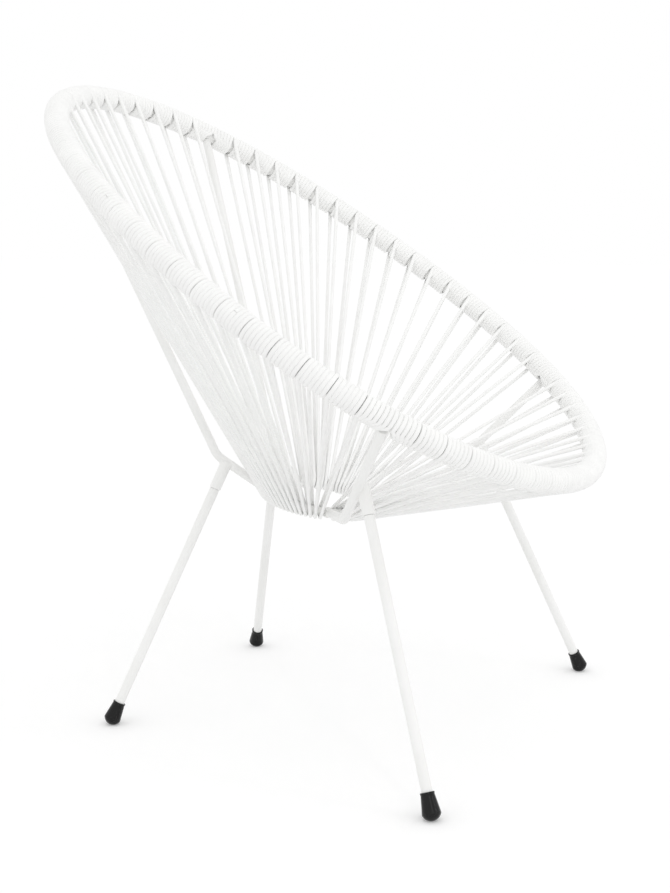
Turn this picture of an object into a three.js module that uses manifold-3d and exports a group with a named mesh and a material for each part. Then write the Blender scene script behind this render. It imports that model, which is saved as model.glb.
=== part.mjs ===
// An Acapulco chair: a leaning egg-shaped steel hoop wound with cord, pairs of cords that run from it down to
// a small ring under the seat, and four bent bars that carry both on four screwed-in legs with rubber feet.
// Millimetres, +Z up. The floor is Z = 0, the front faces -Y, and +X is the sitter's left. The origin is on
// the floor, below the middle of the hoop.

import * as THREE from "three";
import { mergeVertices } from "three/addons/utils/BufferGeometryUtils.js";
import Module from "manifold-3d";

const wasm = await Module();
wasm.setup();

const { degToRad } = THREE.MathUtils;

// Hoop: one tube, bent flat to an egg shape, that leans back
const HOOP_MIDDLE_HEIGHT = 608.15; // of its plane, halfway along
const HOOP_HALF_LENGTH = 440;
const HOOP_HALF_WIDTH = 350;
const HOOP_LEAN = degToRad(34.6); // of its plane, up from the floor
const HOOP_TUBE_RADIUS = 11;
const HOOP_WALL = 1.5;
const END_POINT_SHARE = 0.054; // how far both ends are drawn out
const SIDE_FLAT_SHARE = 0.0585; // how far both sides are flattened
const FRONT_WIDE_SHARE = 0.03; // how far the widest place lies forward

// Centre ring: a small rod ring at the bottom of the bowl, its back edge higher
const RING_RADIUS = 75.5;
const RING_ROD_RADIUS = 6;
const RING_HEIGHT = 301;
const RING_BACK = 14; // of its middle, behind the hoop's
const RING_TILT = degToRad(10.9);

// Cord: wound on the hoop, and led in pairs round the ring
const CORD_RADIUS = 2.5;
const CORD_SEAT = 0.3; // from the steel to the cord wound on it
const PAIR_SPREAD = 3; // of each cord of a pair, sideways on the hoop
const BACK_PAIR_COUNTS = [5, 5]; // in each panel of cord
const SIDE_PAIR_COUNTS = [6, 6, 5];
const FRONT_PAIR_COUNTS = [5, 5, 5, 5];

// Bars: solid rod, welded under the hoop and to the ring; the rear ones lie on the hoop's inner lower side
const BAR_RADIUS = 6;
const BAR_BEND_RADIUS = 30;
const BAR_STUB = 8; // past the middle of its weld on the hoop
const REAR_WELD_SHARE = 0.084; // of the hoop's length, from the top of the back
const FRONT_WELD_SHARE = 0.3575;
const REAR_WELD_TURN = degToRad(50); // round the hoop's tube, from its outer side inwards
const REAR_BEND_SIDE = 80;
const REAR_BEND_BACK = 131.5;
const REAR_BEND_HEIGHT = 361.5;
const FRONT_BEND_SIDE = 165;
const FRONT_BEND_FORWARD = 103;
const FRONT_BEND_HEIGHT = 308;
const BAR_TO_CORD = 0.8; // sideways, on the ring

// Sockets: short tapped tubes on the bars
const SOCKET_RADIUS = 8;
const SOCKET_LENGTH = 40;
const SOCKET_BORE_DEPTH = 26;
const REAR_SOCKET_PAST_BEND = 16; // its weld, along the bar
const FRONT_SOCKET_ABOVE_BEND = 78; // its weld, along the bar
const FRONT_SOCKET_PAST_WELD = 8;
const FRONT_SOCKET_LAP = 9; // of its axis, beside the bar's

// Legs: tubes that screw into the sockets by a stud in their upper end
const LEG_RADIUS = 6.7;
const LEG_WALL = 1.2;
const LEG_END_HEIGHT = 12; // of its lower end, along the leg from the floor
const REAR_FOOT_SIDE = 205.9;
const REAR_FOOT_BACK = 232.8;
const FRONT_FOOT_SIDE = 307.5;
const FRONT_FOOT_FORWARD = 283.8;
const STUD_RADIUS = 4;
const STUD_REACH = 22; // into the socket
const STUD_PLUG_LENGTH = 24; // in the leg

// Feet: tapered rubber cups with a domed bottom, flat where they stand
const FOOT_DOME_RADIUS = 12.3;
const FOOT_SHOULDER = degToRad(69); // from the dome's bottom round to its edge
const FOOT_TOP_RADIUS = 8.2;
const FOOT_LIP = 0.5; // of the top edge, beyond the wall
const FOOT_LIP_HEIGHT = 2;
const FOOT_HEIGHT = 33; // along the leg, from the floor
const FOOT_FLAT = 1; // how much of the dome is pressed flat

const GAP = 0.3; // between two pieces that touch
const CUT_OVERRUN = 30; // of a cut, past what it cuts

// Facets
const HOOP_SIDES = 8;
const HOOP_BORE_SIDES = 6;
const WRAP_SIDES = 10;
const RING_SIDES = 8;
const CORD_SIDES = 5;
const BAR_SIDES = 10;
const TURNED_SIDES = 12;
const BEND_STEPS = 4;
const DOME_STEPS = 3;

const cordWhite = { color: 0xf4f4f2, roughness: 0.35, metalness: 0 };
const paintWhite = { color: 0xf2f2f0, roughness: 0.45, metalness: 0 };
const zincSteel = { color: 0xb8bcc0, roughness: 0.4, metalness: 1 };
const blackRubber = { color: 0x1d1d1d, roughness: 0.7, metalness: 0 };

const X = new THREE.Vector3(1, 0, 0);
const Z = new THREE.Vector3(0, 0, 1);

function solidOf(geometry, matrix = new THREE.Matrix4()) {
  const bare = new THREE.BufferGeometry();
  const source = geometry.index ? geometry.toNonIndexed() : geometry;
  bare.setAttribute("position", source.getAttribute("position").clone());
  bare.applyMatrix4(matrix);
  const merged = mergeVertices(bare, GAP / 100);
  return new wasm.Manifold(
    new wasm.Mesh({
      numProp: 3,
      vertProperties: merged.attributes.position.array,
      triVerts: new Uint32Array(merged.index.array),
    }),
  );
}

function meshOf(name, shape, look) {
  let geometry = shape;
  if (!shape.isBufferGeometry) {
    const { vertProperties, triVerts } = shape.getMesh();
    geometry = new THREE.BufferGeometry();
    geometry.setAttribute("position", new THREE.BufferAttribute(new Float32Array(vertProperties), 3));
    geometry.setIndex(new THREE.BufferAttribute(new Uint32Array(triVerts), 1));
    geometry.computeVertexNormals();
  }
  const mesh = new THREE.Mesh(geometry, new THREE.MeshStandardMaterial(look));
  mesh.name = name;
  return mesh;
}

// A path through chosen stations. A sweep along it ends each step on one of them, and turns the first corner
// of its section to the station's own facing.
class StationPath extends THREE.Curve {
  constructor(points, tangents, facings) {
    super();
    this.points = points;
    this.tangents = tangents;
    this.facings = facings;
  }

  getPointAt(u) {
    return this.points[Math.round(u * (this.points.length - 1))].clone();
  }

  computeFrenetFrames() {
    const binormals = this.tangents.map((tangent, i) => tangent.clone().cross(this.facings[i]));
    return { tangents: this.tangents, normals: this.facings, binormals };
  }
}

// The radius of a polygon's corners when its flats lie at a given radius, and when it has a circle's area.
const aroundFlats = (radius, sides) => radius / Math.cos(Math.PI / sides);
const asRound = (radius, sides) => radius * Math.sqrt((2 * Math.PI) / sides / Math.sin((2 * Math.PI) / sides));

function polygon(radius, sides, Kind) {
  const corner = (_, i) => {
    const angle = (2 * Math.PI * i) / sides;
    return new THREE.Vector2(radius * Math.cos(angle), radius * Math.sin(angle));
  };
  return new Kind(Array.from({ length: sides }, corner));
}

function sweep(path, outerRadius, sides, boreRadius = 0, boreSides = sides) {
  const section = polygon(outerRadius, sides, THREE.Shape);
  if (boreRadius) section.holes.push(polygon(boreRadius, boreSides, THREE.Path));
  return new THREE.ExtrudeGeometry(section, { steps: path.points.length - 1, extrudePath: path });
}

// A turned piece. Its profile runs up the outside, as pairs of radius and height, and its axis becomes Z.
function turned(profile) {
  const points = profile.map(([radius, height]) => new THREE.Vector2(radius, height));
  return new THREE.LatheGeometry(points, TURNED_SIDES).rotateX(Math.PI / 2);
}

// The hoop's curve, once round from the top of the back by way of the sitter's left.
class HoopCurve extends THREE.Curve {
  getPoint(turn) {
    const angle = 2 * Math.PI * turn;
    const across =
      (HOOP_HALF_WIDTH *
        (Math.sin(angle) - FRONT_WIDE_SHARE * Math.sin(2 * angle) + SIDE_FLAT_SHARE * Math.sin(3 * angle))) /
      (1 - SIDE_FLAT_SHARE);
    const along =
      (HOOP_HALF_LENGTH * (Math.cos(angle) + END_POINT_SHARE * Math.cos(3 * angle))) / (1 + END_POINT_SHARE);
    return new THREE.Vector3(
      across,
      along * Math.cos(HOOP_LEAN),
      HOOP_MIDDLE_HEIGHT + along * Math.sin(HOOP_LEAN),
    );
  }
}

const hoopCurve = new HoopCurve();
hoopCurve.arcLengthDivisions = 2000;
const HOOP_LENGTH = hoopCurve.getLength();
const hoopTurn = (length) => THREE.MathUtils.euclideanModulo(length / HOOP_LENGTH, 1);
const hoopAt = (length) => hoopCurve.getPointAt(hoopTurn(length));
const hoopTangentAt = (length) => hoopCurve.getTangentAt(hoopTurn(length));
const hoopOutward = new THREE.Vector3(0, Math.sin(HOOP_LEAN), -Math.cos(HOOP_LEAN));

// The ring, by the angle round it from the back by way of the sitter's left.
const ringCentre = new THREE.Vector3(0, RING_BACK, RING_HEIGHT);
const ringTurned = (v) => v.applyAxisAngle(X, RING_TILT);
const ringAt = (angle) =>
  ringTurned(new THREE.Vector3(RING_RADIUS * Math.sin(angle), RING_RADIUS * Math.cos(angle), 0)).add(ringCentre);
const ringTangentAt = (angle) => ringTurned(new THREE.Vector3(Math.cos(angle), -Math.sin(angle), 0));

// Where one bar lies: side is 1 on the sitter's left and -1 on the right.
function barLayout(side, weldShare, bend) {
  const corner = new THREE.Vector3(side * bend.side, bend.back, bend.height);
  const along = side * weldShare * HOOP_LENGTH;
  const toWeld = hoopOutward.clone().applyAxisAngle(hoopTangentAt(along), -bend.weldTurn);
  const weld = hoopAt(along).addScaledVector(toWeld, HOOP_TUBE_RADIUS + BAR_RADIUS);
  const ringAngle = Math.atan2(corner.x, corner.y - RING_BACK);
  const end = ringAt(ringAngle);
  const upper = corner.clone().sub(weld).normalize();
  const lower = end.clone().sub(corner).normalize();
  end.addScaledVector(lower, -RING_ROD_RADIUS / 2);
  return { corner, weld, ringAngle, end, upper, lower, along };
}

// The bar's path: straight from its stub to the bend, round it, and straight to the ring.
function barPath({ corner, weld, end, upper, lower }) {
  const turn = upper.angleTo(lower);
  const setBack = BAR_BEND_RADIUS * Math.tan(turn / 2);
  const axis = upper.clone().cross(lower).normalize();
  const centre = corner
    .clone()
    .addScaledVector(upper, -setBack)
    .addScaledVector(axis.clone().cross(upper), BAR_BEND_RADIUS);
  const spoke = corner.clone().addScaledVector(upper, -setBack).sub(centre);
  const points = [weld.clone().addScaledVector(upper, -BAR_STUB)];
  const tangents = [upper];
  for (let step = 0; step <= BEND_STEPS; step += 1) {
    const angle = (turn * step) / BEND_STEPS;
    points.push(spoke.clone().applyAxisAngle(axis, angle).add(centre));
    tangents.push(upper.clone().applyAxisAngle(axis, angle));
  }
  points.push(end);
  tangents.push(lower);
  return new StationPath(points, tangents, Array(points.length).fill(axis));
}

const rearBend = {
  side: REAR_BEND_SIDE,
  back: REAR_BEND_BACK,
  height: REAR_BEND_HEIGHT,
  weldTurn: REAR_WELD_TURN,
};
const frontBend = {
  side: FRONT_BEND_SIDE,
  back: -FRONT_BEND_FORWARD,
  height: FRONT_BEND_HEIGHT,
  weldTurn: 0,
};
const bars = {
  rear_left: barLayout(1, REAR_WELD_SHARE, rearBend),
  rear_right: barLayout(-1, REAR_WELD_SHARE, rearBend),
  front_left: barLayout(1, FRONT_WELD_SHARE, frontBend),
  front_right: barLayout(-1, FRONT_WELD_SHARE, frontBend),
};
const barCutters = Object.values(bars).map((bar) =>
  solidOf(sweep(barPath(bar), aroundFlats(BAR_RADIUS + GAP, BAR_SIDES), BAR_SIDES)),
);

// A place on the cord work has a place along the hoop and one on the ring, and a cord runs between the two.
const between = (a, b) => ({ along: (a.along + b.along) / 2, ringAngle: (a.ringAngle + b.ringAngle) / 2 });
const cordRun = ({ along, ringAngle }) => ringAt(ringAngle).sub(hoopAt(along)).normalize();

// A stretch of cord work lies between two bars, and is split into panels. Its pairs are spaced evenly along
// the hoop, and again along the ring, where they keep clear of the bars and of the next panel.
function stretchOf(fromBar, toBar, panels) {
  const from = { along: fromBar.along, ringAngle: fromBar.ringAngle };
  const to = { along: toBar.along, ringAngle: toBar.ringAngle };
  if (to.along < from.along) to.along += HOOP_LENGTH;
  if (to.ringAngle < from.ringAngle) to.ringAngle += 2 * Math.PI;
  const count = panels.reduce((sum, n) => sum + n, 0);
  const pitch = (to.along - from.along) / (count + 1);
  const besideBar = (BAR_RADIUS + BAR_TO_CORD + CORD_RADIUS) / RING_RADIUS;
  const besidePanel = (2 * CORD_RADIUS + GAP) / (RING_RADIUS - RING_ROD_RADIUS - CORD_SEAT - CORD_RADIUS);
  const ringRoom = to.ringAngle - from.ringAngle - 2 * besideBar - (panels.length - 1) * besidePanel;
  const ringPitch = ringRoom / (count - panels.length);
  const place = { along: from.along, ringAngle: from.ringAngle + besideBar };
  const pairs = panels.map((size, index) =>
    Array.from({ length: size }, (_, i) => {
      place.along += pitch;
      if (i > 0) place.ringAngle += ringPitch;
      else if (index > 0) place.ringAngle += besidePanel;
      return { ...place };
    }),
  );
  return pairs.map((own, index) => {
    const before = pairs[index - 1]?.at(-1) ?? { ...from, along: own[0].along - pitch };
    const after = pairs[index + 1]?.at(0) ?? { ...to, along: own.at(-1).along + pitch };
    const stations = [before, ...own, after].slice(1).map((b, i) => between([before, ...own, after][i], b));
    own.forEach((pair, i) => {
      pair.seat = hoopAt(stations[i].along).lerp(hoopAt(stations[i + 1].along), 1 / 2);
    });
    if (index === 0) stations.unshift(from);
    if (index === pairs.length - 1) stations.push(to);
    return { pairs: own, stations };
  });
}

const panelStretches = [
  stretchOf(bars.rear_right, bars.rear_left, BACK_PAIR_COUNTS),
  stretchOf(bars.rear_left, bars.front_left, SIDE_PAIR_COUNTS),
  stretchOf(bars.front_left, bars.front_right, FRONT_PAIR_COUNTS),
  stretchOf(bars.front_right, bars.rear_right, [...SIDE_PAIR_COUNTS].reverse()),
];
const panelNames = [
  ["cord_back_right", "cord_back_left"],
  ["cord_left_rear", "cord_left_middle", "cord_left_fore"],
  ["cord_front_left", "cord_front_mid_left", "cord_front_mid_right", "cord_front_right"],
  ["cord_right_fore", "cord_right_middle", "cord_right_rear"],
];

// Sections on the hoop and on the ring turn a corner to the sitter's side of the cord that leaves there.
function hoopPath(stations) {
  const tangents = stations.map(({ along }) => hoopTangentAt(along));
  const facings = stations.map((station, i) => cordRun(station).cross(tangents[i]).normalize());
  return new StationPath(stations.map(({ along }) => hoopAt(along)), tangents, facings);
}

function ringPath(stations) {
  const tangents = stations.map(({ ringAngle }) => ringTangentAt(ringAngle));
  const facings = stations.map((station, i) => cordRun(station).cross(tangents[i]).normalize());
  return new StationPath(stations.map(({ ringAngle }) => ringAt(ringAngle)), tangents, facings);
}

// The ring needs only every other station of a panel, and both ends.
const ringStations = (stations) => stations.filter((_, i) => i % 2 === 0 || i === stations.length - 1);

// Stations drawn in at both ends, to leave half a gap at each.
function drawnIn(stations, key, halfGap) {
  const list = stations.map((station) => ({ ...station }));
  list[0][key] += halfGap;
  list.at(-1)[key] -= halfGap;
  return list;
}

// Once round from the middle of the back, where the ends of the hoop's tube, and of the ring's rod, meet.
function onceRound(pick = (stations) => stations) {
  const [last, ...panels] = panelStretches.flat();
  const stations = [...panels, last].flatMap((panel) => pick(panel.stations).slice(0, -1));
  const [first] = stations;
  stations.push({ along: first.along + HOOP_LENGTH, ringAngle: first.ringAngle + 2 * Math.PI });
  return stations;
}

const wholeHoopPath = hoopPath(drawnIn(onceRound(), "along", GAP / 2));
const wholeRingPath = ringPath(drawnIn(onceRound(ringStations), "ringAngle", GAP / 2 / RING_RADIUS));
const hoopCutter = solidOf(sweep(wholeHoopPath, HOOP_TUBE_RADIUS + GAP, HOOP_SIDES));
const ringCutter = solidOf(sweep(wholeRingPath, RING_ROD_RADIUS + GAP, RING_SIDES));

// The wound cord on one panel's part of the hoop, and its loops on the ring.
function hoopWrap({ stations }) {
  const wound = HOOP_TUBE_RADIUS + CORD_SEAT;
  const path = hoopPath(drawnIn(stations, "along", GAP / 2));
  return solidOf(sweep(path, asRound(wound + 2 * CORD_RADIUS, WRAP_SIDES), WRAP_SIDES, wound, HOOP_SIDES));
}

function ringWrap({ stations }) {
  const wound = RING_ROD_RADIUS + CORD_SEAT;
  const path = ringPath(drawnIn(ringStations(stations), "ringAngle", GAP / 2 / RING_RADIUS));
  return solidOf(sweep(path, asRound(wound + 2 * CORD_RADIUS, RING_SIDES), RING_SIDES, wound));
}

// One straight cord of a pair. Face 1 runs on the sitter's side of hoop and ring, and -1 on the outer side.
function strand(pair, face) {
  const hoopTangent = hoopTangentAt(pair.along);
  const hoopFacing = cordRun(pair).cross(hoopTangent).normalize();
  const ringFacing = cordRun(pair).cross(ringTangentAt(pair.ringAngle)).normalize();
  const start = pair.seat
    .clone()
    .addScaledVector(hoopFacing, face * (HOOP_TUBE_RADIUS + CORD_SEAT + CORD_RADIUS))
    .addScaledVector(hoopTangent, face * PAIR_SPREAD);
  const end = ringAt(pair.ringAngle).addScaledVector(
    ringFacing,
    face * (RING_ROD_RADIUS + CORD_SEAT + CORD_RADIUS),
  );
  const line = end.clone().sub(start);
  const run = line.clone().normalize();
  const sideways = run.clone().cross(hoopFacing).normalize().multiplyScalar(face);
  const middle = start.addScaledVector(line, 1 / 2);
  const matrix = new THREE.Matrix4().makeBasis(sideways, run, sideways.clone().cross(run));
  const geometry = new THREE.CylinderGeometry(CORD_RADIUS, CORD_RADIUS, line.length(), CORD_SIDES);
  return solidOf(geometry, matrix.setPosition(middle));
}

function cordPanel(panel) {
  const parts = [hoopWrap(panel), ringWrap(panel)];
  for (const pair of panel.pairs) parts.push(strand(pair, 1), strand(pair, -1));
  const whole = parts.reduce((sum, part) => sum.add(part));
  return barCutters.reduce((left, cutter) => left.subtract(cutter), whole);
}

// A bar, coped to the hoop and to the ring that it is welded to.
function barRod(bar) {
  const rod = solidOf(sweep(barPath(bar), BAR_RADIUS, BAR_SIDES));
  return rod.subtract(hoopCutter).subtract(ringCutter);
}

// Where one leg stands, and its axis up to the socket's weld on the bar. A lapped socket lies beside the bar,
// on the side of the chair's middle.
function legLayout(bar, footSide, footBack, { pastBend = 0, aboveBend = 0, lap = 0, pastWeld = 0 }) {
  const side = Math.sign(bar.corner.x);
  const foot = new THREE.Vector3(side * footSide, footBack, 0);
  const weld = bar.corner
    .clone()
    .addScaledVector(bar.lower, pastBend)
    .addScaledVector(bar.upper, -aboveBend);
  const beside = bar.upper.clone().cross(weld.clone().sub(foot)).normalize();
  weld.addScaledVector(beside, -side * lap);
  const up = weld.clone().sub(foot).normalize();
  const top = weld.distanceTo(foot) + pastWeld;
  return { foot, up, top, joint: top - SOCKET_LENGTH };
}

const rearSocket = { pastBend: REAR_SOCKET_PAST_BEND };
const frontSocket = {
  aboveBend: FRONT_SOCKET_ABOVE_BEND,
  lap: FRONT_SOCKET_LAP,
  pastWeld: FRONT_SOCKET_PAST_WELD,
};
const legs = {
  rear_left: legLayout(bars.rear_left, REAR_FOOT_SIDE, REAR_FOOT_BACK, rearSocket),
  rear_right: legLayout(bars.rear_right, REAR_FOOT_SIDE, REAR_FOOT_BACK, rearSocket),
  front_left: legLayout(bars.front_left, FRONT_FOOT_SIDE, -FRONT_FOOT_FORWARD, frontSocket),
  front_right: legLayout(bars.front_right, FRONT_FOOT_SIDE, -FRONT_FOOT_FORWARD, frontSocket),
};

// Heights along a leg's axis start at the floor.
function socketShape({ joint, top }) {
  const bore = STUD_RADIUS + GAP;
  return turned([
    [0, joint + SOCKET_BORE_DEPTH],
    [bore, joint + SOCKET_BORE_DEPTH],
    [bore, joint],
    [SOCKET_RADIUS, joint],
    [SOCKET_RADIUS, top],
    [0, top],
  ]);
}

function studShape({ joint }) {
  const plug = LEG_RADIUS - LEG_WALL - GAP;
  return turned([
    [0, joint - GAP - STUD_PLUG_LENGTH],
    [plug, joint - GAP - STUD_PLUG_LENGTH],
    [plug, joint - GAP],
    [STUD_RADIUS, joint - GAP],
    [STUD_RADIUS, joint + STUD_REACH],
    [0, joint + STUD_REACH],
  ]);
}

function legShape({ joint }) {
  const bore = LEG_RADIUS - LEG_WALL;
  return turned([
    [bore, LEG_END_HEIGHT],
    [LEG_RADIUS, LEG_END_HEIGHT],
    [LEG_RADIUS, joint - GAP],
    [bore, joint - GAP],
    [bore, LEG_END_HEIGHT],
  ]);
}

function footShape({ up }) {
  const domeCentre = (FOOT_DOME_RADIUS - FOOT_FLAT) / up.z;
  const bore = LEG_RADIUS + GAP;
  const dome = Array.from({ length: DOME_STEPS + 1 }, (_, i) => {
    const angle = FOOT_SHOULDER * (i / DOME_STEPS);
    return [FOOT_DOME_RADIUS * Math.sin(angle), domeCentre - FOOT_DOME_RADIUS * Math.cos(angle)];
  });
  return turned([
    ...dome,
    [FOOT_TOP_RADIUS, FOOT_HEIGHT - FOOT_LIP_HEIGHT],
    [FOOT_TOP_RADIUS + FOOT_LIP, FOOT_HEIGHT - FOOT_LIP_HEIGHT],
    [FOOT_TOP_RADIUS + FOOT_LIP, FOOT_HEIGHT],
    [bore, FOOT_HEIGHT],
    [bore, LEG_END_HEIGHT - GAP],
    [0, LEG_END_HEIGHT - GAP],
  ]);
}

// A leg's group stands on the floor with its own Z up the leg, and holds socket, stud, leg and foot.
function legGroup(corner, leg) {
  const group = new THREE.Group();
  group.position.copy(leg.foot);
  group.quaternion.setFromUnitVectors(Z, leg.up);
  group.updateMatrix();
  const toGroup = group.matrix.clone().invert();
  const barCut = solidOf(
    sweep(barPath(bars[corner]), aroundFlats(BAR_RADIUS + GAP, BAR_SIDES), BAR_SIDES),
    toGroup,
  );
  const floorSize = 2 * FOOT_DOME_RADIUS + CUT_OVERRUN;
  const floor = new THREE.BoxGeometry(floorSize, floorSize, CUT_OVERRUN);
  floor.translate(leg.foot.x, leg.foot.y, -CUT_OVERRUN / 2);
  group.add(
    meshOf(`${corner}_socket`, solidOf(socketShape(leg)).subtract(barCut), paintWhite),
    meshOf(`${corner}_stud`, studShape(leg), zincSteel),
    meshOf(`${corner}_leg`, legShape(leg), paintWhite),
    meshOf(`${corner}_foot`, solidOf(footShape(leg)).subtract(solidOf(floor, toGroup)), blackRubber),
  );
  return group;
}

const seatFrame = new THREE.Group();
const hoopShape = sweep(
  wholeHoopPath,
  HOOP_TUBE_RADIUS,
  HOOP_SIDES,
  HOOP_TUBE_RADIUS - HOOP_WALL,
  HOOP_BORE_SIDES,
);
seatFrame.add(meshOf("hoop_tube", hoopShape, paintWhite));
seatFrame.add(meshOf("centre_ring", sweep(wholeRingPath, RING_ROD_RADIUS, RING_SIDES), paintWhite));
for (const [corner, bar] of Object.entries(bars)) {
  seatFrame.add(meshOf(`${corner}_bar`, barRod(bar), paintWhite));
}

const cordWork = new THREE.Group();
panelStretches.forEach((panels, stretch) => {
  panels.forEach((panel, index) => {
    cordWork.add(meshOf(panelNames[stretch][index], cordPanel(panel), cordWhite));
  });
});

const chair = new THREE.Group();
chair.add(seatFrame, cordWork);
for (const [corner, leg] of Object.entries(legs)) chair.add(legGroup(corner, leg));

export default chair;
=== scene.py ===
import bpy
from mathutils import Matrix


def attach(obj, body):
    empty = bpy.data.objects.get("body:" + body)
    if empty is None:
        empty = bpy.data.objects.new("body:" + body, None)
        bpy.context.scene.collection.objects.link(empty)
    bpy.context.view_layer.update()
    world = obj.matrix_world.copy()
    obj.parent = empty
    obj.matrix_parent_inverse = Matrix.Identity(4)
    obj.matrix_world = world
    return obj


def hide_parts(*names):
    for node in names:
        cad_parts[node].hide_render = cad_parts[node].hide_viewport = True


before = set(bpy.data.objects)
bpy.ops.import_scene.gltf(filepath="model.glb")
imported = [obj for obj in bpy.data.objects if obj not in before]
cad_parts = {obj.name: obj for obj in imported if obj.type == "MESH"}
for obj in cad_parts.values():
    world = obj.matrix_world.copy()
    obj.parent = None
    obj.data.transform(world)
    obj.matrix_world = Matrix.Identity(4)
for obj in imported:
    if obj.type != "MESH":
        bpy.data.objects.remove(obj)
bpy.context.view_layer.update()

import math
import random
from bisect import bisect_left

import bpy
from mathutils import Quaternion, Vector
from mathutils.kdtree import KDTree

bpy.ops.object.select_all(action="DESELECT")

# Camera: at the photograph's angle, a little above the seat and to the front right of the sitter, with the
# lens that the chair's own perspective gives.
CAMERA_AT = Vector((-1.696, -0.831, 0.661))
CAMERA_TURN = math.radians(25.82)
CAMERA_DROP = math.radians(8.70)
LENS_MM = 55.43
SENSOR_MM = 36

bpy.ops.object.camera_add(location=CAMERA_AT)
camera = bpy.context.object
camera.name = "camera"
camera.data.lens = LENS_MM
camera.data.sensor_width = SENSOR_MM
sight = Vector(
    (
        math.cos(CAMERA_TURN) * math.cos(CAMERA_DROP),
        math.sin(CAMERA_TURN) * math.cos(CAMERA_DROP),
        -math.sin(CAMERA_DROP),
    )
)
camera.rotation_euler = sight.to_track_quat("-Z", "Y").to_euler()
bpy.context.scene.camera = camera

# Seat hoop: one mild steel tube, 22 mm across, bent flat to an egg shape, butt welded and powder coated. It
# leans back, and the cord hides it but for thin slits between the turns. The CAD tube is kept as it is.
HOOP_MIDDLE = 0.60815
HOOP_HALF_LENGTH = 0.440
HOOP_HALF_WIDTH = 0.350
EGG_SHARE = 0.03
SQUARE_SHARE = 0.0585
END_SHARE = 0.054
HOOP_LEAN = math.radians(34.6)
HOOP_RADIUS = 0.011
HOOP_OUTWARD = Vector((0, math.sin(HOOP_LEAN), -math.cos(HOOP_LEAN)))
HOOP_STEPS = 4000
TANGENT_REACH = 0.001


def hoop_curve(turn):
    """A point of the hoop's axis, from the top of the back by way of the sitter's left."""
    angle = 2 * math.pi * turn
    across = math.sin(angle) - EGG_SHARE * math.sin(2 * angle) + SQUARE_SHARE * math.sin(3 * angle)
    slope = HOOP_HALF_LENGTH * (math.cos(angle) + END_SHARE * math.cos(3 * angle)) / (1 + END_SHARE)
    height = HOOP_MIDDLE + slope * math.sin(HOOP_LEAN)
    return Vector((HOOP_HALF_WIDTH * across / (1 - SQUARE_SHARE), slope * math.cos(HOOP_LEAN), height))


def reach_along(points):
    """The length from a line's first point to each of its points."""
    reach = [0.0]
    for before, after in zip(points, points[1:]):
        reach.append(reach[-1] + (after - before).length)
    return reach


hoop_points = [hoop_curve(step / HOOP_STEPS) for step in range(HOOP_STEPS + 1)]
hoop_reach = reach_along(hoop_points)
HOOP_LENGTH = hoop_reach[-1]


def hoop_at(along):
    """The hoop's axis at a length along it."""
    along %= HOOP_LENGTH
    after = max(1, bisect_left(hoop_reach, along))
    share = (along - hoop_reach[after - 1]) / (hoop_reach[after] - hoop_reach[after - 1])
    return hoop_points[after - 1].lerp(hoop_points[after], share)


def hoop_tangent(along):
    """The hoop's direction at a length along it."""
    return (hoop_at(along + TANGENT_REACH) - hoop_at(along - TANGENT_REACH)).normalized()


def linear(colour):
    """An sRGB hex colour as linear RGBA."""
    parts = [int(colour[i : i + 2], 16) / 255 for i in (1, 3, 5)]
    return [*(c / 12.92 if c <= 0.04045 else ((c + 0.055) / 1.055) ** 2.4 for c in parts), 1.0]


def add(tree, kind, values=None, links=None):
    """Adds a shader node, sets its fields and sockets, and links its inputs."""
    made = tree.nodes.new(kind)
    for name, value in (values or {}).items():
        if isinstance(name, int) or name in made.inputs:
            made.inputs[name].default_value = value
        else:
            setattr(made, name, value)
    for name, socket in (links or {}).items():
        tree.links.new(made.inputs[name], socket)
    return made


def new_finish(name):
    """A new material, its emptied tree, and the object coordinates that its patterns follow."""
    finish = bpy.data.materials.new(name)
    finish.use_nodes = True
    tree = finish.node_tree
    tree.nodes.clear()
    place = add(tree, "ShaderNodeTexCoord").outputs["Object"]
    return finish, tree, place


# Polyester powder coat, sprayed and baked on steel: a clean white skin, satin, with the faint waves that
# are called orange peel, about 1.5 mm from one to the next, and a hair of tone from place to place.
COAT_CLOUD = 0.06
COAT_PEEL = 0.0015
PEEL_DEPTH = 0.00004

powder_coat, tree, place = new_finish("powder_coat_white_satin")
cloud = add(tree, "ShaderNodeTexNoise", {"Scale": 1 / COAT_CLOUD, "Detail": 3.0}, {"Vector": place})
tone = add(tree, "ShaderNodeValToRGB", links={"Fac": cloud.outputs["Fac"]})
tone.color_ramp.elements[0].position = 0.3
tone.color_ramp.elements[0].color = linear("#F4F4F2")
tone.color_ramp.elements[1].position = 0.7
tone.color_ramp.elements[1].color = linear("#F9F9F8")
peel = add(tree, "ShaderNodeTexNoise", {"Scale": 1 / COAT_PEEL, "Detail": 1.0}, {"Vector": place})
gloss = add(
    tree, "ShaderNodeMapRange", {"To Min": 0.36, "To Max": 0.48}, {"Value": cloud.outputs["Fac"]}
)
relief = add(
    tree, "ShaderNodeBump", {"Strength": 0.25, "Distance": PEEL_DEPTH}, {"Height": peel.outputs["Fac"]}
)
skin = add(
    tree,
    "ShaderNodeBsdfPrincipled",
    {"IOR": 1.5},
    {
        "Base Color": tone.outputs["Color"],
        "Roughness": gloss.outputs["Result"],
        "Normal": relief.outputs["Normal"],
    },
)
add(tree, "ShaderNodeOutputMaterial", links={"Surface": skin.outputs[0]})


def keep_node(name, finish):
    """Gives a CAD node that stays its real finish."""
    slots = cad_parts[name].data.materials
    slots.clear()
    slots.append(finish)


keep_node("hoop_tube", powder_coat)

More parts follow.
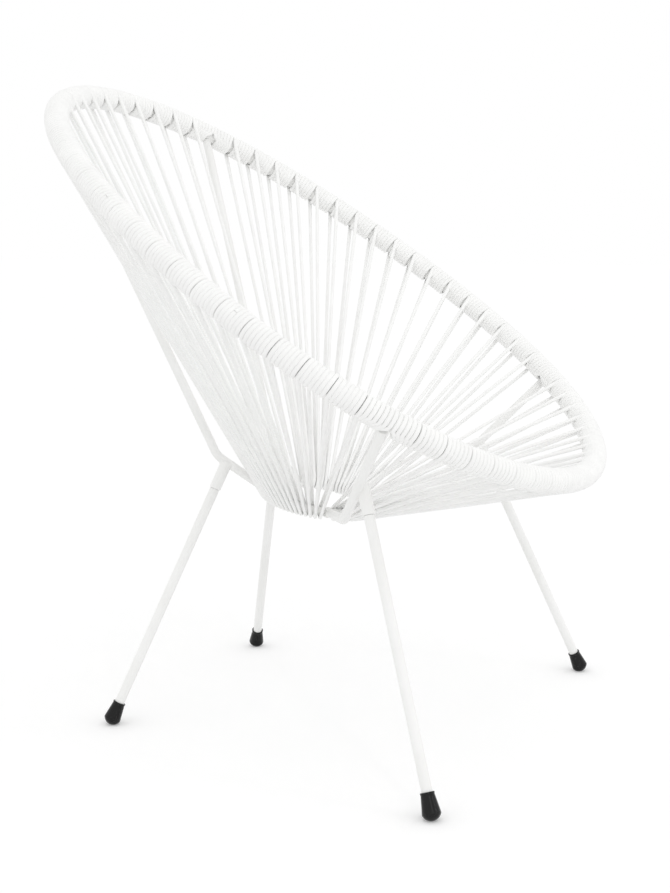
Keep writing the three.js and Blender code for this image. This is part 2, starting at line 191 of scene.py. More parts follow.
# Centre ring: a 12 mm steel rod bent to a circle and butt welded, at the bottom of the bowl, its back edge
# a little higher. The cord's loops hide its bore side, and bare coated rod shows between them outside.
RING_RADIUS = 0.0755
RING_ROD = 0.006
RING_MIDDLE = Vector((0, 0.014, 0.301))
RING_TILT = Quaternion((1, 0, 0), math.radians(10.9))
BUTT_HEIGHT = 0.00035
BUTT_HALF = 0.0015


def ring_at(angle):
    """The ring's axis at an angle from the back, by way of the sitter's left."""
    flat = Vector((RING_RADIUS * math.sin(angle), RING_RADIUS * math.cos(angle), 0))
    return RING_TILT @ flat + RING_MIDDLE


def ring_tangent(angle):
    """The ring's direction at an angle."""
    return RING_TILT @ Vector((math.cos(angle), -math.sin(angle), 0))


def settle(piece, name, finish, nodes=(), smooth=40):
    """Names a finished piece, fixes its place in its mesh, and ties it to the frame."""
    piece.name = name
    bpy.ops.object.select_all(action="DESELECT")
    piece.select_set(True)
    bpy.context.view_layer.objects.active = piece
    bpy.ops.object.transform_apply(location=True, rotation=True, scale=True)
    bpy.ops.object.shade_smooth_by_angle(angle=math.radians(smooth))
    piece.data.materials.clear()
    piece.data.materials.append(finish)
    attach(piece, "root")
    if nodes:
        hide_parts(*nodes)
    bpy.ops.object.select_all(action="DESELECT")


bpy.ops.mesh.primitive_torus_add(
    location=RING_MIDDLE,
    rotation=RING_TILT.to_euler(),
    major_radius=RING_RADIUS,
    minor_radius=RING_ROD,
    major_segments=160,
    minor_segments=28,
)
ring = bpy.context.object
# The butt weld: a low bead, 3 mm long, ground nearly flush at the middle of the back.
for vertex in ring.data.vertices:
    angle = math.atan2(vertex.co.x, vertex.co.y)
    bead = BUTT_HEIGHT * math.exp(-((angle * RING_RADIUS / BUTT_HALF) ** 2))
    centre = Vector((math.sin(angle), math.cos(angle), 0)) * RING_RADIUS
    vertex.co += (vertex.co - centre).normalized() * bead
settle(ring, "centre_ring_rod", powder_coat, ["centre_ring"])

# Bars: four 12 mm steel rods, bent cold, that carry the hoop. Each is welded under the hoop by its upper
# end, runs down outside the cords, bends inward, and is welded to the ring. All are powder coated.
BAR_RADIUS = 0.006
BEND_RADIUS = 0.030
BEND_STEPS = 12
BAR_STUB = 0.008
RING_BITE = 0.002
END_ROUND = 0.0007
BAR_ALONG = {"rear": 0.0840 * HOOP_LENGTH, "front": 0.3575 * HOOP_LENGTH}
BAR_WELD_TURN = {"rear": math.radians(50), "front": 0.0}
BAR_BEND = {"rear": (0.080, 0.1315, 0.3615), "front": (0.165, -0.103, 0.308)}
CORNERS = {
    "rear_left": ("rear", 1),
    "rear_right": ("rear", -1),
    "front_left": ("front", 1),
    "front_right": ("front", -1),
}


def bar_layout(end, side):
    """Where a bar is welded, bends and ends, with the directions of its two straight lengths."""
    x, y, z = BAR_BEND[end]
    corner = Vector((side * x, y, z))
    along = side * BAR_ALONG[end]
    to_weld = Quaternion(hoop_tangent(along), -BAR_WELD_TURN[end]) @ HOOP_OUTWARD
    weld = hoop_at(along) + to_weld * (HOOP_RADIUS + BAR_RADIUS)
    angle = math.atan2(corner.x, corner.y - RING_MIDDLE.y)
    ring_end = ring_at(angle)
    upper = (corner - weld).normalized()
    lower = (ring_end - corner).normalized()
    return {
        "corner": corner,
        "along": along,
        "weld": weld,
        "to_weld": to_weld,
        "angle": angle,
        "end": ring_end,
        "upper": upper,
        "lower": lower,
    }


def pull(offset):
    """Extrudes the selected face by an offset."""
    bpy.ops.mesh.extrude_region_move(TRANSFORM_OT_translate={"value": offset})


bars = {corner: bar_layout(*ends) for corner, ends in CORNERS.items()}
bar_rods = {}
for corner, bar in bars.items():
    upper, lower = bar["upper"], bar["lower"]
    turn = upper.angle(lower)
    set_back = BEND_RADIUS * math.tan(turn / 2)
    axis = upper.cross(lower).normalized()
    bend_start = bar["corner"] - upper * set_back
    bend_centre = bend_start + axis.cross(upper) * BEND_RADIUS
    arm = bend_start - bend_centre
    start = bar["weld"] - upper * BAR_STUB
    bpy.ops.mesh.primitive_circle_add(vertices=32, radius=BAR_RADIUS, fill_type="NGON")
    rod = bpy.context.object
    rod.rotation_mode = "QUATERNION"
    rod.rotation_quaternion = Vector((0, 0, 1)).rotation_difference(upper)
    rod.location = start
    bpy.ops.object.transform_apply(location=True, rotation=True, scale=True)
    bpy.ops.object.mode_set(mode="EDIT")
    bpy.ops.mesh.select_mode(type="FACE")
    bpy.ops.mesh.select_all(action="SELECT")
    pull(bend_start - start)
    tilt = Quaternion(axis, turn / BEND_STEPS)
    for step in range(BEND_STEPS):
        here = bend_centre + Quaternion(axis, turn * step / BEND_STEPS) @ arm
        there = bend_centre + Quaternion(axis, turn * (step + 1) / BEND_STEPS) @ arm
        pull(there - here)
        bpy.ops.object.mode_set(mode="OBJECT")
        for vertex in rod.data.vertices:
            if vertex.select:
                vertex.co = there + tilt @ (vertex.co - there)
        bpy.ops.object.mode_set(mode="EDIT")
    bend_end = bend_centre + Quaternion(axis, turn) @ arm
    pull(bar["end"] - lower * RING_BITE - bend_end)
    bpy.ops.mesh.select_all(action="SELECT")
    bpy.ops.mesh.normals_make_consistent(inside=False)
    bpy.ops.object.mode_set(mode="OBJECT")
    bevel = rod.modifiers.new("end_round", "BEVEL")
    bevel.width = END_ROUND
    bevel.segments = 3
    bevel.limit_method = "ANGLE"
    bevel.angle_limit = math.radians(60)
    bpy.ops.object.modifier_apply(modifier=bevel.name)
    settle(rod, "bar_" + corner, powder_coat, [corner + "_bar"])
    bar_rods[corner] = rod

# Ring welds: a bead of weld metal laid round each bar where it meets the ring, and coated with the rest.
# It is a raised ring with fine ripples, one for each 1.5 mm or so that the welder moved.
BEAD_RADIUS = 0.0013
BEAD_CLEAR = 0.0002
BEAD_CORE = BAR_RADIUS + BEAD_CLEAR
BEAD_SINK = 0.0006
BEAD_RIPPLES = 26
RIPPLE_SHARE = 0.12
HAND_WAVES = 5
HAND_SHARE = 0.10

for corner, bar in bars.items():
    bpy.ops.mesh.primitive_torus_add(
        major_radius=BEAD_CORE, minor_radius=BEAD_RADIUS, major_segments=96, minor_segments=14
    )
    bead = bpy.context.object
    for vertex in bead.data.vertices:
        angle = math.atan2(vertex.co.y, vertex.co.x)
        core = Vector((math.cos(angle), math.sin(angle), 0)) * BEAD_CORE
        ripple = RIPPLE_SHARE * math.sin(BEAD_RIPPLES * angle)
        wave = HAND_SHARE * math.sin(HAND_WAVES * angle + 1)
        vertex.co = core + (vertex.co - core) * (1 + ripple + wave)
    bead.rotation_mode = "QUATERNION"
    bead.rotation_quaternion = Vector((0, 0, 1)).rotation_difference(bar["lower"])
    bead.location = bar["end"] - bar["lower"] * (RING_ROD - BEAD_SINK)
    settle(bead, "ring_weld_" + corner, powder_coat)

# Cord: one long solid PVC cord, 5 mm thick, extruded white. It is wound round the hoop so tightly that each
# turn is pressed wide against the next. At each pitch it drops to the ring, loops under it and comes back up.
CORD_RADIUS = 0.0025
CORD_SEAT = 0.0003
PAIR_SPREAD = 0.0019
WOUND_SWELL = 1.25
WOUND_RADIUS = HOOP_RADIUS + CORD_SEAT + CORD_RADIUS * (2 - WOUND_SWELL)
LOOP_RADIUS = RING_ROD + CORD_SEAT + CORD_RADIUS
PANELS = [
    ("rear_right", "rear_left", {"cord_back_right": 5, "cord_back_left": 5}),
    ("rear_left", "front_left", {"cord_left_rear": 6, "cord_left_middle": 6, "cord_left_fore": 5}),
    (
        "front_left",
        "front_right",
        {
            "cord_front_left": 5,
            "cord_front_mid_left": 5,
            "cord_front_mid_right": 5,
            "cord_front_right": 5,
        },
    ),
    ("front_right", "rear_right", {"cord_right_fore": 5, "cord_right_middle": 6, "cord_right_rear": 6}),
]
BAR_CLEARANCE = 0.0008
PANEL_STEP = 0.0053
BESIDE_BAR = (BAR_RADIUS + BAR_CLEARANCE + CORD_RADIUS) / RING_RADIUS
BESIDE_PANEL = PANEL_STEP / (RING_RADIUS - LOOP_RADIUS)


def on_past(place, least, turn):
    """A place on a closed line, moved on by whole turns until it isn't before another place."""
    while place < least:
        place += turn
    return place


# Each pair's place along the hoop and round the ring, with the panel that it belongs to.
pairs = []
for from_bar, to_bar, panels in PANELS:
    along, angle = bars[from_bar]["along"], bars[from_bar]["angle"]
    if pairs:
        along = on_past(along, pairs[-1]["along"], HOOP_LENGTH)
        angle = on_past(angle, pairs[-1]["angle"], 2 * math.pi)
    along_to = on_past(bars[to_bar]["along"], along, HOOP_LENGTH)
    angle_to = on_past(bars[to_bar]["angle"], angle, 2 * math.pi)
    count = sum(panels.values())
    pitch = (along_to - along) / (count + 1)
    room = angle_to - angle - 2 * BESIDE_BAR - (len(panels) - 1) * BESIDE_PANEL
    angle += BESIDE_BAR
    for index, (panel, size) in enumerate(panels.items()):
        for number in range(size):
            along += pitch
            if number:
                angle += room / (count - len(panels))
            elif index:
                angle += BESIDE_PANEL
            pairs.append({"along": along, "angle": angle, "panel": panel})

# The turns on the hoop part where a bar stands, on its side of the hoop only, and close up again within the
# sway's length. The sway's start and span are cosines of the angle between a turn's side and the bar.
TURN_POINTS = 24
BAR_ROOM = 0.0092
BAR_SWAY = 0.036
BAR_GAP = 0.06
SWAY_START = 0.25
SWAY_SPAN = 0.45
LOOP_STEPS = 14
LOOP_LEAN = 0.0006
DOWN_SHARES = (0.1, 0.25, 0.4, 0.55, 0.7, 0.85)
UP_SHARES = (0.15, 0.3, 0.45, 0.6, 0.75, 0.9)


def seat_of(along, angle):
    """The cord's side of the sitter, and its way to the ring, square to the hoop."""
    run = (ring_at(angle) - hoop_at(along)).normalized()
    tangent = hoop_tangent(along)
    inner = run.cross(tangent).normalized()
    return inner, tangent.cross(inner).normalized()


def past_bars(along, spoke):
    """A turn's place along the hoop, moved aside on the side where a bar stands in its way."""
    for bar in bars.values():
        off = (along - bar["along"] + HOOP_LENGTH / 2) % HOOP_LENGTH - HOOP_LENGTH / 2
        if abs(off) < BAR_SWAY:
            share = min(1.0, max(0.0, (spoke.dot(bar["to_weld"]) - SWAY_START) / SWAY_SPAN))
            share = share * share * (3 - 2 * share)
            moved = share * BAR_ROOM * (1 - abs(off) / BAR_SWAY)
            return along + math.copysign(moved, off)
    return along


def winding(first, second, start, stop):
    """Points and swells of the turns on the hoop between two pairs, over part of the way."""
    gap = (second["along"] - first["along"]) % HOOP_LENGTH
    wound = gap - 2 * PAIR_SPREAD - (BAR_ROOM if gap > BAR_GAP else 0)
    turns = math.floor(wound / (2 * CORD_RADIUS) - 0.5) + 0.5
    swing = (second["angle"] - first["angle"]) % (2 * math.pi)
    steps = round(turns * TURN_POINTS)
    points = []
    for step in range(round(start * steps), round(stop * steps) + 1):
        share = step / steps
        along = first["along"] + PAIR_SPREAD + (gap - 2 * PAIR_SPREAD) * share
        inner, down = seat_of(along, first["angle"] + swing * share)
        phase = math.pi + 2 * math.pi * turns * share
        spoke = -inner * math.cos(phase) + down * math.sin(phase)
        points.append((hoop_at(past_bars(along, spoke)) + spoke * WOUND_RADIUS, WOUND_SWELL))
    return points


def loop(pair):
    """Points and swells of one pair: down outside, round the ring, and up inside."""
    inner, _ = seat_of(pair["along"], pair["angle"])
    tangent = ring_tangent(pair["angle"])
    run = (ring_at(pair["angle"]) - hoop_at(pair["along"])).normalized()
    ring_inner = run.cross(tangent).normalized()
    ring_down = tangent.cross(ring_inner).normalized()
    centre = ring_at(pair["angle"])
    arc = []
    for step in range(LOOP_STEPS + 1):
        phase = math.pi * step / LOOP_STEPS
        spoke = -ring_inner * math.cos(phase) + ring_down * math.sin(phase)
        lean = tangent * LOOP_LEAN * math.cos(phase)
        arc.append(centre + spoke * LOOP_RADIUS - lean)
    slack = Vector((0, 0, -pair["slack"]))
    top_out = hoop_at(pair["along"] - PAIR_SPREAD) - inner * WOUND_RADIUS
    top_in = hoop_at(pair["along"] + PAIR_SPREAD) + inner * WOUND_RADIUS
    points = []
    for share in DOWN_SHARES:
        points.append(top_out.lerp(arc[0], share) + slack * 4 * share * (1 - share))
    points += arc
    for share in UP_SHARES:
        points.append(arc[-1].lerp(top_in, share) + slack * 4 * share * (1 - share))
    return [(point, 1.0) for point in points]


# Hand winding leaves each pair a little off its even place, and some cords with a millimetre of slack.
HAND_ERROR = 0.0009
SLACK = 0.0012
HAND_SEED = 11

hands = random.Random(HAND_SEED)
for pair in pairs:
    pair["along"] += hands.uniform(-HAND_ERROR, HAND_ERROR)
    pair["slack"] = hands.uniform(0.0, SLACK)

# PVC, extruded as solid cord and wound warm: bright white, smooth and rather glossy, with the slight waver
# of extrusion every 12 mm or so, a fine drag texture of about 0.8 mm, and hardly any change of tone.
CORD_CLOUD = 0.025
CORD_WAVER = 0.012
WAVER_DEPTH = 0.0003
CORD_DRAG = 0.0008
DRAG_DEPTH = 0.00002

pvc_cord, tree, place = new_finish("pvc_cord_white_gloss")
cloud = add(tree, "ShaderNodeTexNoise", {"Scale": 1 / CORD_CLOUD, "Detail": 2.0}, {"Vector": place})
tone = add(tree, "ShaderNodeValToRGB", links={"Fac": cloud.outputs["Fac"]})
tone.color_ramp.elements[0].position = 0.3
tone.color_ramp.elements[0].color = linear("#F9F9F8")
tone.color_ramp.elements[1].position = 0.7
tone.color_ramp.elements[1].color = linear("#FDFDFC")
waver = add(tree, "ShaderNodeTexNoise", {"Scale": 1 / CORD_WAVER, "Detail": 1.0}, {"Vector": place})
drag = add(tree, "ShaderNodeTexNoise", {"Scale": 1 / CORD_DRAG, "Detail": 1.0}, {"Vector": place})
swell = add(
    tree, "ShaderNodeBump", {"Strength": 0.5, "Distance": WAVER_DEPTH}, {"Height": waver.outputs["Fac"]}
)
relief = add(
    tree,
    "ShaderNodeBump",
    {"Strength": 0.1, "Distance": DRAG_DEPTH},
    {"Height": drag.outputs["Fac"], "Normal": swell.outputs["Normal"]},
)
gloss = add(
    tree, "ShaderNodeMapRange", {"To Min": 0.28, "To Max": 0.40}, {"Value": cloud.outputs["Fac"]}
)
vinyl = add(
    tree,
    "ShaderNodeBsdfPrincipled",
    {"IOR": 1.53},
    {
        "Base Color": tone.outputs["Color"],
        "Roughness": gloss.outputs["Result"],
        "Normal": relief.outputs["Normal"],
    },
)
add(tree, "ShaderNodeOutputMaterial", links={"Surface": vinyl.outputs[0]})

MERGE_DISTANCE = 0.000001
CORD_SMOOTH = 60


def cord_piece(name, points, radius=CORD_RADIUS):
    """A round run along points with their swells, as a mesh with its ends closed."""
    data = bpy.data.curves.new(name, "CURVE")
    data.dimensions = "3D"
    data.bevel_depth = radius
    data.bevel_resolution = 3
    data.use_fill_caps = True
    spline = data.splines.new("POLY")
    spline.points.add(len(points) - 1)
    for spot, (point, swell) in zip(spline.points, points):
        spot.co = (*point, 1.0)
        spot.radius = swell
    run = bpy.data.objects.new(name, data)
    bpy.context.collection.objects.link(run)
    run.select_set(True)
    bpy.context.view_layer.objects.active = run
    bpy.ops.object.convert(target="MESH")
    bpy.ops.object.mode_set(mode="EDIT")
    bpy.ops.mesh.select_all(action="SELECT")
    bpy.ops.mesh.remove_doubles(threshold=MERGE_DISTANCE)
    bpy.ops.object.mode_set(mode="OBJECT")
    return bpy.context.object


hoop_tree = KDTree(len(hoop_points) - 1)
for index, point in enumerate(hoop_points[:-1]):
    hoop_tree.insert(point, index)
hoop_tree.balance()


def press_on_hoop(run):
    """Flattens the inner side of a run's turns against the hoop, as tight winding does."""
    for vertex in run.data.vertices:
        nearest, index, distance = hoop_tree.find(vertex.co)
        if distance < HOOP_RADIUS + CORD_RADIUS:
            along = (hoop_points[index + 1] - hoop_points[index]).normalized()
            out = vertex.co - nearest
            out -= along * out.dot(along)
            if out.length < HOOP_RADIUS + CORD_SEAT:
                vertex.co += out.normalized() * (HOOP_RADIUS + CORD_SEAT - out.length)


# A run goes from the middle of one panel's first gap to the middle of the gap after its last pair.
for panel in [panel for _, _, panels in PANELS for panel in panels]:
    members = [index for index, pair in enumerate(pairs) if pair["panel"] == panel]
    points = winding(pairs[members[0] - 1], pairs[members[0]], 0.5, 1.0)
    for index in members:
        after = pairs[(index + 1) % len(pairs)]
        points += loop(pairs[index])
        points += winding(pairs[index], after, 0.0, 1.0 if index != members[-1] else 0.5)
    run = cord_piece("run_of_" + panel, points)
    press_on_hoop(run)
    settle(run, "run_of_" + panel, pvc_cord, [panel], smooth=CORD_SMOOTH)

# Leg sockets: short lengths of 16 mm steel tube with a tapped bore, welded to the bars. The rear ones are
# coped under each bar's bend, and the front ones lap beside the bar above its bend.
SOCKET_RADIUS = 0.008
SOCKET_LENGTH = 0.040
SOCKET_ALONG_BAR = {"rear": 0.016, "front": -0.078}
SOCKET_BESIDE = 0.009
SOCKET_PAST = 0.008
STUD_HOLE = 0.0043
STUD_HOLE_DEPTH = 0.026
STUD_HOLE_EDGE = 0.0008
EDGE_ROUND = 0.0006
EDGE_STEP = 0.0002
TURNED_SIDES = 48
FOOT_PLACE = {"rear": (0.2059, 0.2328), "front": (0.3075, -0.2838)}


def leg_layout(corner):
    """A leg's foot, axis and heights, with the point and the direction of the bar that it meets."""
    end, side = CORNERS[corner]
    bar = bars[corner]
    x, y = FOOT_PLACE[end]
    foot = Vector((side * x, y, 0))
    way = bar["lower"] if end == "rear" else bar["upper"]
    on_bar = bar["corner"] + way * SOCKET_ALONG_BAR[end]
    weld = on_bar
    past = 0.0
    if end == "front":
        beside = way.cross(on_bar - foot).normalized()
        weld = on_bar - beside * side * SOCKET_BESIDE
        past = SOCKET_PAST
    top = (weld - foot).length + past
    return {
        "foot": foot,
        "up": (weld - foot).normalized(),
        "top": top,
        "joint": top - SOCKET_LENGTH,
        "way": way,
        "on_bar": on_bar,
    }


def rise(profile):
    """A turned piece, drawn up from a disc: each step extrudes the top face and scales it."""
    radius, height = profile[0]
    bpy.ops.mesh.primitive_circle_add(
        vertices=TURNED_SIDES, radius=radius, fill_type="NGON", location=(0, 0, height)
    )
    piece = bpy.context.object
    bpy.ops.object.transform_apply(location=True, rotation=True, scale=True)
    bpy.ops.object.mode_set(mode="EDIT")
    bpy.ops.mesh.select_mode(type="FACE")
    bpy.ops.mesh.select_all(action="SELECT")
    for next_radius, next_height in profile[1:]:
        pull((0, 0, next_height - height))
        grow = next_radius / radius
        bpy.ops.transform.resize(value=(grow, grow, 1), center_override=(0, 0, next_height))
        radius, height = next_radius, next_height
    bpy.ops.mesh.select_all(action="SELECT")
    bpy.ops.mesh.normals_make_consistent(inside=False)
    bpy.ops.object.mode_set(mode="OBJECT")
    return piece


def stand_on(piece, leg):
    """Turns a piece that was drawn up along Z onto a leg's axis."""
    piece.rotation_mode = "QUATERNION"
    piece.rotation_quaternion = Vector((0, 0, 1)).rotation_difference(leg["up"])
    piece.location = leg["foot"]
    bpy.ops.object.transform_apply(location=True, rotation=True, scale=True)


legs = {corner: leg_layout(corner) for corner in CORNERS}
for corner, leg in legs.items():
    joint, top = leg["joint"], leg["top"]
    socket = rise(
        [
            (STUD_HOLE, joint + STUD_HOLE_DEPTH),
            (STUD_HOLE, joint + STUD_HOLE_EDGE),
            (STUD_HOLE + STUD_HOLE_EDGE, joint),
            (SOCKET_RADIUS - EDGE_ROUND, joint),
            (SOCKET_RADIUS - EDGE_STEP, joint + EDGE_STEP),
            (SOCKET_RADIUS, joint + EDGE_ROUND),
            (SOCKET_RADIUS, top),
        ]
    )
    stand_on(socket, leg)
    cope = socket.modifiers.new("cope", "BOOLEAN")
    cope.operation = "DIFFERENCE"
    cope.solver = "EXACT"
    cope.object = bar_rods[corner]
    bpy.ops.object.modifier_apply(modifier=cope.name)
    settle(socket, "socket_" + corner, powder_coat, [corner + "_socket"])

# Socket welds: a bead along each seam of bar and socket, laid before the coat. It follows the line where the
# two round surfaces meet, as far as the socket's end, with ripples and tapered ends.
SEAM_RADIUS = 0.0011
SEAM_RIPPLE = 0.0014
SEAM_RIPPLE_SHARE = 0.10
SEAM_TAPER = 0.0015
SEAM_TIP = 0.0003
SEAM_LEAST = 8


def seam(leg):
    """The line where a bar's surface meets a socket's, as runs of points."""
    up, way = leg["up"], leg["way"]
    across = way.cross(up).normalized()
    under = way.cross(across).normalized()
    if under.dot(up) > 0:
        under = -under
    slant = way - up * way.dot(up)
    square = slant.dot(slant)
    runs = []
    for branch in (-1, 1):
        run = []
        for step in range(-180, 181):
            angle = math.radians(step)
            start = leg["on_bar"] + (under * math.cos(angle) + across * math.sin(angle)) * BAR_RADIUS
            off = start - leg["foot"]
            off -= up * off.dot(up)
            half = off.dot(slant)
            rest = half * half - square * (off.dot(off) - SOCKET_RADIUS * SOCKET_RADIUS)
            spot = None
            if rest >= 0:
                spot = start + way * ((-half + branch * math.sqrt(rest)) / square)
            if spot is not None and (spot - leg["foot"]).dot(up) <= leg["top"]:
                run.append(spot)
            elif run:
                runs.append(run)
                run = []
        if run:
            runs.append(run)
    return [run for run in runs if len(run) > SEAM_LEAST]


def joined(runs):
    """Runs whose ends lie within a bead's width of each other, made one."""
    chain = runs[0]
    for run in runs[1:]:
        for turned in (run, run[::-1]):
            if (turned[0] - chain[-1]).length < 2 * SEAM_RADIUS:
                return [chain + turned]
            if (turned[-1] - chain[0]).length < 2 * SEAM_RADIUS:
                return [turned + chain]
    return runs


for corner, leg in legs.items():
    for number, run in enumerate(joined(seam(leg)), 1):
        reach = reach_along(run)
        points = []
        for point, distance in zip(run, reach):
            end = min(1.0, (min(distance, reach[-1] - distance) + SEAM_TIP) / SEAM_TAPER)
            ripple = 1 + SEAM_RIPPLE_SHARE * math.sin(2 * math.pi * distance / SEAM_RIPPLE)
            points.append((point, math.sqrt(end) * ripple))
        name = "socket_weld_%s_%d" % (corner, number)
        bead = cord_piece(name, points, SEAM_RADIUS)
        settle(bead, name, powder_coat, smooth=CORD_SMOOTH)

# Legs: 13 mm steel tube, cut square, deburred and powder coated. A stud pressed into the upper end screws
# into the socket, which leaves a fine dark joint line, and the lower end stands in a rubber foot.
LEG_RADIUS = 0.0067
TUBE_WALL = 0.0012
LEG_BORE = LEG_RADIUS - TUBE_WALL
LEG_END = 0.012
BORE_SHOWN = 0.004
JOINT_GAP = 0.0003

for corner, leg in legs.items():
    joint = leg["joint"] - JOINT_GAP
    tube = rise(
        [
            (LEG_BORE, LEG_END),
            (LEG_RADIUS, LEG_END),
            (LEG_RADIUS, joint - EDGE_ROUND),
            (LEG_RADIUS - EDGE_STEP, joint - EDGE_STEP),
            (LEG_RADIUS - EDGE_ROUND, joint),
            (LEG_BORE, joint),
            (LEG_BORE, joint - BORE_SHOWN),
        ]
    )
    stand_on(tube, leg)
    settle(tube, "leg_tube_" + corner, powder_coat, [corner + "_leg"])

# Studs: 8 mm threaded rod of zinc-plated steel, hidden in the joint between leg and socket. The CAD studs
# are kept: bright plating, softly blurred by the grain of the drawn rod, about 0.3 mm.
DRAWN_GRAIN = 0.0003
GRAIN_DEPTH = 0.00002

zinc, tree, place = new_finish("zinc_plated_steel_drawn")
grain = add(tree, "ShaderNodeTexNoise", {"Scale": 1 / DRAWN_GRAIN, "Detail": 2.0}, {"Vector": place})
tone = add(tree, "ShaderNodeValToRGB", links={"Fac": grain.outputs["Fac"]})
tone.color_ramp.elements[0].color = linear("#A9ADB1")
tone.color_ramp.elements[1].color = linear("#C6C9CC")
relief = add(
    tree, "ShaderNodeBump", {"Strength": 0.3, "Distance": GRAIN_DEPTH}, {"Height": grain.outputs["Fac"]}
)
plating = add(
    tree,
    "ShaderNodeBsdfPrincipled",
    {"Metallic": 1.0, "Roughness": 0.35},
    {"Base Color": tone.outputs["Color"], "Normal": relief.outputs["Normal"]},
)
add(tree, "ShaderNodeOutputMaterial", links={"Surface": plating.outputs[0]})
for corner in CORNERS:
    keep_node(corner + "_stud", zinc)

# Feet: moulded black rubber cups pushed onto the legs. Each widens from a thin lip to a shoulder above its
# domed bottom, which stands flat on the floor, and shows soft sheens down its side.
FOOT_DOME = 0.0123
DOME_START = 6
DOME_STEP = 7
FOOT_SHOULDER = 69
FOOT_TOP = 0.0082
FOOT_HEIGHT = 0.033
FOOT_FLAT = 0.001
SHOULDER_ROUND = 0.0005
SHOULDER_SHARES = ((0.8, -1.0), (0.2, -0.2), (0.2, 0.8))
WALL_SHARES = (0.08, 0.3, 0.55, 0.8, 0.97)
LIP_HEIGHT = 0.002
LIP_OUT = 0.0005
LIP_TOP_OUT = 0.0002
LIP_TOP_ROUND = 0.0004
LIP_ROUND = 0.0003
CUP_CLEAR = 0.0003
CUT_DISTANCE = 0.000001
CUT_MERGE = 0.000002
RUBBER_DUST = 0.010
RUBBER_PORE = 0.0005
PORE_DEPTH = 0.00004

rubber, tree, place = new_finish("moulded_rubber_black")
dust = add(tree, "ShaderNodeTexNoise", {"Scale": 1 / RUBBER_DUST, "Detail": 4.0}, {"Vector": place})
tone = add(tree, "ShaderNodeValToRGB", links={"Fac": dust.outputs["Fac"]})
tone.color_ramp.elements[0].color = linear("#0E0E0E")
tone.color_ramp.elements[1].color = linear("#191919")
pores = add(tree, "ShaderNodeTexNoise", {"Scale": 1 / RUBBER_PORE, "Detail": 2.0}, {"Vector": place})
relief = add(
    tree, "ShaderNodeBump", {"Strength": 0.35, "Distance": PORE_DEPTH}, {"Height": pores.outputs["Fac"]}
)
gloss = add(
    tree, "ShaderNodeMapRange", {"To Min": 0.13, "To Max": 0.18}, {"Value": dust.outputs["Fac"]}
)
moulding = add(
    tree,
    "ShaderNodeBsdfPrincipled",
    {"IOR": 1.52, "Specular IOR Level": 0.22},
    {
        "Base Color": tone.outputs["Color"],
        "Roughness": gloss.outputs["Result"],
        "Normal": relief.outputs["Normal"],
    },
)
add(tree, "ShaderNodeOutputMaterial", links={"Surface": moulding.outputs[0]})


def on_dome(degrees, centre):
    """A point of the dome's outline, at an angle from its lowest point."""
    angle = math.radians(degrees)
    return FOOT_DOME * math.sin(angle), centre - FOOT_DOME * math.cos(angle)


for corner, leg in legs.items():
    centre = (FOOT_DOME - FOOT_FLAT) / leg["up"].z
    dome = [on_dome(degrees, centre) for degrees in range(DOME_START, FOOT_SHOULDER, DOME_STEP)]
    widest, shoulder = on_dome(FOOT_SHOULDER, centre)
    edge = [
        (widest - SHOULDER_ROUND * inward, shoulder + SHOULDER_ROUND * upward)
        for inward, upward in SHOULDER_SHARES
    ]
    wall_top = FOOT_HEIGHT - LIP_HEIGHT
    wall = [
        (widest + (FOOT_TOP - widest) * share, shoulder + (wall_top - shoulder) * share)
        for share in WALL_SHARES
    ]
    lip = [
        (FOOT_TOP + LIP_ROUND, wall_top),
        (FOOT_TOP + LIP_OUT, wall_top + LIP_ROUND),
        (FOOT_TOP + LIP_OUT, FOOT_HEIGHT - LIP_TOP_ROUND),
        (FOOT_TOP + LIP_TOP_OUT, FOOT_HEIGHT),
        (LEG_RADIUS + CUP_CLEAR + LIP_ROUND, FOOT_HEIGHT),
        (LEG_RADIUS + CUP_CLEAR, FOOT_HEIGHT - LIP_ROUND),
        (LEG_RADIUS + CUP_CLEAR, LEG_END),
    ]
    foot = rise(dome + edge + wall + lip)
    stand_on(foot, leg)
    bpy.ops.object.mode_set(mode="EDIT")
    bpy.ops.mesh.select_all(action="SELECT")
    bpy.ops.mesh.bisect(
        plane_co=(0, 0, 0), plane_no=(0, 0, 1), use_fill=True, clear_inner=True, threshold=CUT_DISTANCE
    )
    bpy.ops.mesh.select_all(action="SELECT")
    bpy.ops.mesh.remove_doubles(threshold=CUT_MERGE)
    bpy.ops.object.mode_set(mode="OBJECT")
    settle(foot, "foot_cup_" + corner, rubber, [corner + "_foot"])

# Floor: the plain white paper of the studio, matt, with a faint cloud of tone over a hand's width. Rays that
# the camera or a gloss sees are lifted a little, so that the open paper is white and keeps its shadow.
FLOOR_SIZE = 60
PAPER_CLOUD = 0.12
PAPER_LIFT = 0.15

bpy.ops.mesh.primitive_plane_add(size=FLOOR_SIZE, location=(0, 0, 0))
floor = bpy.context.object
floor.name = "floor"


def seen_rays(tree):
    """One for rays that the camera sees straight, through glass or in a gloss, else nothing."""
    rays = add(tree, "ShaderNodeLightPath").outputs
    seen = rays["Is Camera Ray"]
    for other in ("Is Transmission Ray", "Is Glossy Ray"):
        seen = add(
            tree, "ShaderNodeMath", {"operation": "MAXIMUM"}, {0: seen, 1: rays[other]}
        ).outputs[0]
    return seen


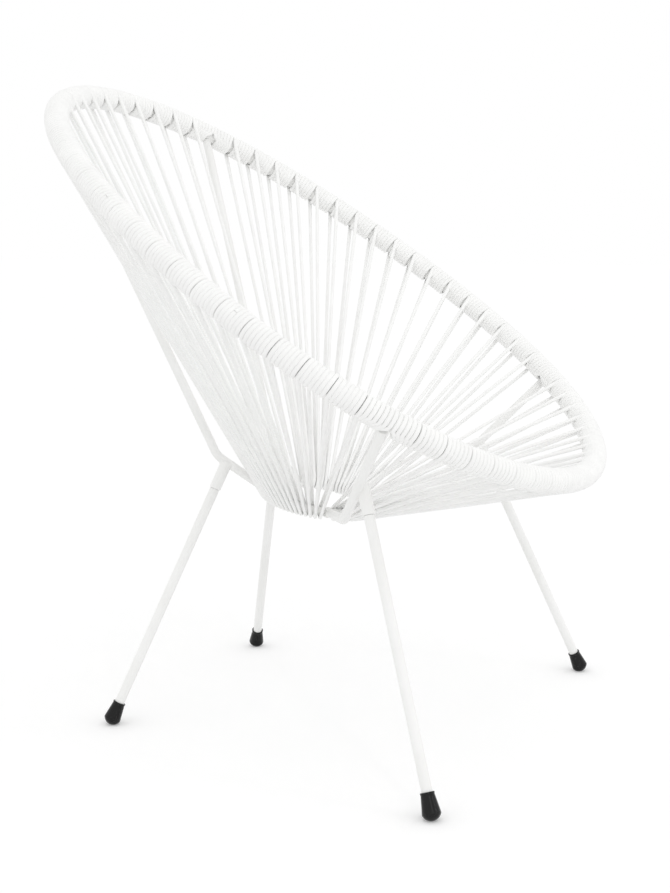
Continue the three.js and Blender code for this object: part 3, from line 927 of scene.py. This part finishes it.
paper, tree, place = new_finish("studio_paper_white")
cloud = add(tree, "ShaderNodeTexNoise", {"Scale": 1 / PAPER_CLOUD, "Detail": 2.0}, {"Vector": place})
tone = add(tree, "ShaderNodeValToRGB", links={"Fac": cloud.outputs["Fac"]})
tone.color_ramp.elements[0].color = linear("#F0F0F0")
tone.color_ramp.elements[1].color = linear("#F2F2F2")
matt = add(tree, "ShaderNodeBsdfDiffuse", links={"Color": tone.outputs["Color"]})
share = add(tree, "ShaderNodeMath", {"operation": "MULTIPLY", 1: PAPER_LIFT}, {0: seen_rays(tree)})
lift = add(tree, "ShaderNodeEmission", {"Color": (1, 1, 1, 1)}, {"Strength": share.outputs[0]})
both = add(tree, "ShaderNodeAddShader", links={0: matt.outputs[0], 1: lift.outputs[0]})
add(tree, "ShaderNodeOutputMaterial", links={"Surface": both.outputs[0]})
floor.data.materials.append(paper)

# Light: a white studio, bright from all round, with one large soft lamp overhead and a little to the front,
# and two tall strip lamps to the right of the camera, whose sheens show on the rubber feet.
STUDIO_WHITE = 0.97

world = bpy.data.worlds.new("white_studio")
bpy.context.scene.world = world
world.use_nodes = True
tree = world.node_tree
tree.nodes.clear()
strength = add(
    tree, "ShaderNodeMapRange", {"To Min": STUDIO_WHITE, "To Max": 1.0}, {"Value": seen_rays(tree)}
)
sky = add(
    tree, "ShaderNodeBackground", {"Color": (1, 1, 1, 1)}, {"Strength": strength.outputs["Result"]}
)
add(tree, "ShaderNodeOutputWorld", links={"Surface": sky.outputs[0]})


def soft_lamp(name, place, aim, width, height, energy):
    """A rectangular lamp that faces a point."""
    bpy.ops.object.light_add(type="AREA", location=place)
    lamp = bpy.context.object
    lamp.name = name
    lamp.data.shape = "RECTANGLE"
    lamp.data.size = width
    lamp.data.size_y = height
    lamp.data.energy = energy
    lamp.rotation_euler = (Vector(aim) - lamp.location).to_track_quat("-Z", "Y").to_euler()


soft_lamp("overhead_softbox", (-0.4, -0.9, 3.0), aim=(0, 0, 0.4), width=2.4, height=2.4, energy=0.8)
soft_lamp("strip_lamp_near", (-2.2, -2.0, 2.0), aim=(0, 0, 0.3), width=0.07, height=1.3, energy=3.0)
soft_lamp("strip_lamp_side", (0.07, -2.85, 1.6), aim=(0, 0, 0.3), width=0.07, height=1.3, energy=3.0)

bpy.context.scene.view_settings.view_transform = "Standard"
